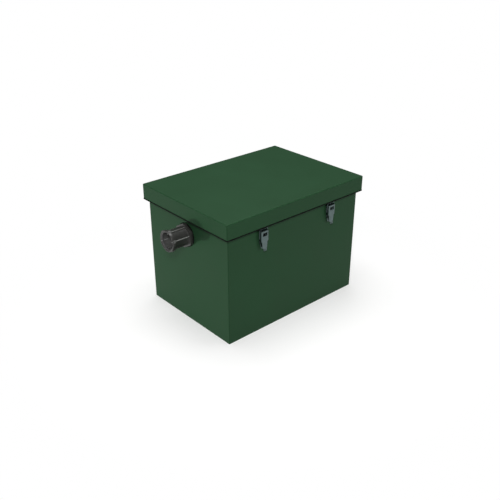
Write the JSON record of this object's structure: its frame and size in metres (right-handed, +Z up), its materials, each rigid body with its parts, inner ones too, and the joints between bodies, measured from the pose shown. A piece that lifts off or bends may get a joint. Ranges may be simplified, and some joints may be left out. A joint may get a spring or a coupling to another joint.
{
  "type": "under-sink grease trap",
  "caption": "Rectangular steel grease trap with a lift-off skirted lid, toggle latches on both long sides, push-fit pipe sockets at the ends and baffles inside.",
  "frame": {"origin": "centre of the bottom of the model's box, on the floor the tank stands on", "axes": "+X from the inlet end to the outlet end, +Y from the front to the back, +Z up"},
  "size_m": [0.66, 0.398, 0.385],
  "materials": {
    "tank_coat": "satin powder coat",
    "lid_coat": "satin powder coat",
    "zinc_plate": "zinc plated",
    "black_plastic": "moulded",
    "grey_plastic": "moulded",
    "seal_rubber": "matt",
    "foam_rubber": "foam, matt"
  },
  "bodies": {
    "tank": {"floor_plate": "tank_coat", "front_wall": "tank_coat", "back_wall": "tank_coat", "inlet_end_wall": "tank_coat", "outlet_end_wall": "tank_coat", "rim_flange": "tank_coat", "inlet_baffle": "tank_coat", "outlet_baffle": "tank_coat", "inlet_socket": "black_plastic", "inlet_lip_seal": "seal_rubber", "inlet_outer_washer": "seal_rubber", "inlet_inner_washer": "seal_rubber", "inlet_backnut": "black_plastic", "outlet_socket": "black_plastic", "outlet_lip_seal": "seal_rubber", "outlet_outer_washer": "seal_rubber", "outlet_inner_washer": "seal_rubber", "outlet_backnut": "black_plastic", "inlet_elbow": "grey_plastic", "outlet_dip_tee": "grey_plastic", "front_left_latch_base": "zinc_plate", "front_right_latch_base": "zinc_plate", "back_left_latch_base": "zinc_plate", "back_right_latch_base": "zinc_plate"},
    "lid": {"lid": "lid_coat", "lid_edge_trim": "seal_rubber", "lid_gasket": "foam_rubber", "lid_keepers": "zinc_plate"},
    "front_left_lever": {"front_left_latch_lever": "zinc_plate"},
    "front_left_bail": {"front_left_latch_bail": "zinc_plate"},
    "front_right_lever": {"front_right_latch_lever": "zinc_plate"},
    "front_right_bail": {"front_right_latch_bail": "zinc_plate"},
    "back_left_lever": {"back_left_latch_lever": "zinc_plate"},
    "back_left_bail": {"back_left_latch_bail": "zinc_plate"},
    "back_right_lever": {"back_right_latch_lever": "zinc_plate"},
    "back_right_bail": {"back_right_latch_bail": "zinc_plate"}
  },
  "joints": [
    {"name": "lid_lift", "type": "slide", "parent": "tank", "child": "lid", "axis": [0, 0, 1], "range_m": [0, 0.2]},
    {"name": "front_left_lever_turn", "type": "hinge", "parent": "tank", "child": "front_left_lever", "pos_m": [-0.136, -0.1925, 0.3238], "axis": [-1, 0, 0], "range_deg": [0, 90]},
    {"name": "front_left_bail_turn", "type": "hinge", "parent": "front_left_lever", "child": "front_left_bail", "pos_m": [-0.136, -0.1898, 0.3035], "axis": [-1, 0, 0], "range_deg": [-90, 0]},
    {"name": "front_right_lever_turn", "type": "hinge", "parent": "tank", "child": "front_right_lever", "pos_m": [0.136, -0.1925, 0.3238], "axis": [-1, 0, 0], "range_deg": [0, 90]},
    {"name": "front_right_bail_turn", "type": "hinge", "parent": "front_right_lever", "child": "front_right_bail", "pos_m": [0.136, -0.1898, 0.3035], "axis": [-1, 0, 0], "range_deg": [-90, 0]},
    {"name": "back_left_lever_turn", "type": "hinge", "parent": "tank", "child": "back_left_lever", "pos_m": [-0.136, 0.1925, 0.3238], "axis": [1, 0, 0], "range_deg": [0, 90]},
    {"name": "back_left_bail_turn", "type": "hinge", "parent": "back_left_lever", "child": "back_left_bail", "pos_m": [-0.136, 0.1898, 0.3035], "axis": [1, 0, 0], "range_deg": [-90, 0]},
    {"name": "back_right_lever_turn", "type": "hinge", "parent": "tank", "child": "back_right_lever", "pos_m": [0.136, 0.1925, 0.3238], "axis": [1, 0, 0], "range_deg": [0, 90]},
    {"name": "back_right_bail_turn", "type": "hinge", "parent": "back_right_lever", "child": "back_right_bail", "pos_m": [0.136, 0.1898, 0.3035], "axis": [1, 0, 0], "range_deg": [-90, 0]}
  ],
  "couplings": [
    {"joint": "front_left_bail_turn", "follows": "front_left_lever_turn", "ratio": -1},
    {"joint": "front_right_bail_turn", "follows": "front_right_lever_turn", "ratio": -1},
    {"joint": "back_left_bail_turn", "follows": "back_left_lever_turn", "ratio": -1},
    {"joint": "back_right_bail_turn", "follows": "back_right_lever_turn", "ratio": -1}
  ]
}
